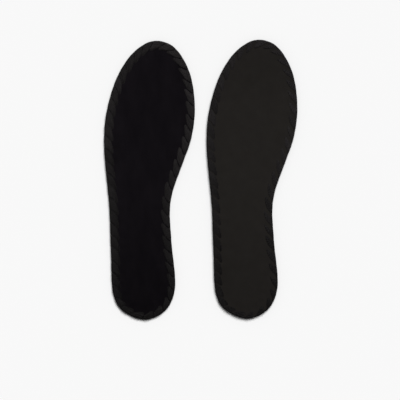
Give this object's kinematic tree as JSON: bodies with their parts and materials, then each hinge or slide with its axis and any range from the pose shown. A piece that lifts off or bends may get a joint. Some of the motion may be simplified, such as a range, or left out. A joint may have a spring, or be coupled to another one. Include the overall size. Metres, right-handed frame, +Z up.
{
  "type": "cushioned insole pair",
  "caption": "Thin cushioned shoe insoles, left and right: velour foot side, foam core, soft lining and an overcast-stitched edge. The right one lies sole side up.",
  "frame": {"origin": "centre of the pair's bounding box in X and Y, on the surface that both insoles lie on", "axes": "+Y towards the toes, +X from the left insole to the right one, which is also towards both arches as they lie, +Z up"},
  "size_m": [0.187, 0.2708, 0.005],
  "materials": {
    "velour": "matte",
    "foam": "matte",
    "felt": "matte",
    "yarn": "matte"
  },
  "bodies": {
    "left_rearfoot": {"left_bottom_lining_rearfoot": "felt", "left_cushion_foam_rearfoot": "foam", "left_top_cover_rearfoot": "velour", "left_edge_stitching_rearfoot": "yarn"},
    "left_forefoot": {"left_bottom_lining_forefoot": "felt", "left_cushion_foam_forefoot": "foam", "left_top_cover_forefoot": "velour", "left_edge_stitching_forefoot": "yarn"},
    "right_rearfoot": {"right_bottom_lining_rearfoot": "felt", "right_cushion_foam_rearfoot": "foam", "right_top_cover_rearfoot": "velour", "right_edge_stitching_rearfoot": "yarn"},
    "right_forefoot": {"right_bottom_lining_forefoot": "felt", "right_cushion_foam_forefoot": "foam", "right_top_cover_forefoot": "velour", "right_edge_stitching_forefoot": "yarn"}
  },
  "joints": [
    {"name": "left_toe_flex", "type": "hinge", "parent": "left_rearfoot", "child": "left_forefoot", "pos_m": [-0.0495, 0.05, 0.005], "axis": [0.9498, 0.313, 0], "range_deg": [0, 55], "stiffness_Nm_per_rad": 0.04},
    {"name": "right_insole_lift", "type": "slide", "parent": "left_rearfoot", "child": "right_rearfoot", "axis": [0, 0, 1], "range_m": [0, 0.05]},
    {"name": "right_toe_flex", "type": "hinge", "parent": "right_rearfoot", "child": "right_forefoot", "pos_m": [0.0495, 0.051, 0.005], "axis": [0.9498, 0.313, 0], "range_deg": [0, 55], "stiffness_Nm_per_rad": 0.04}
  ]
}
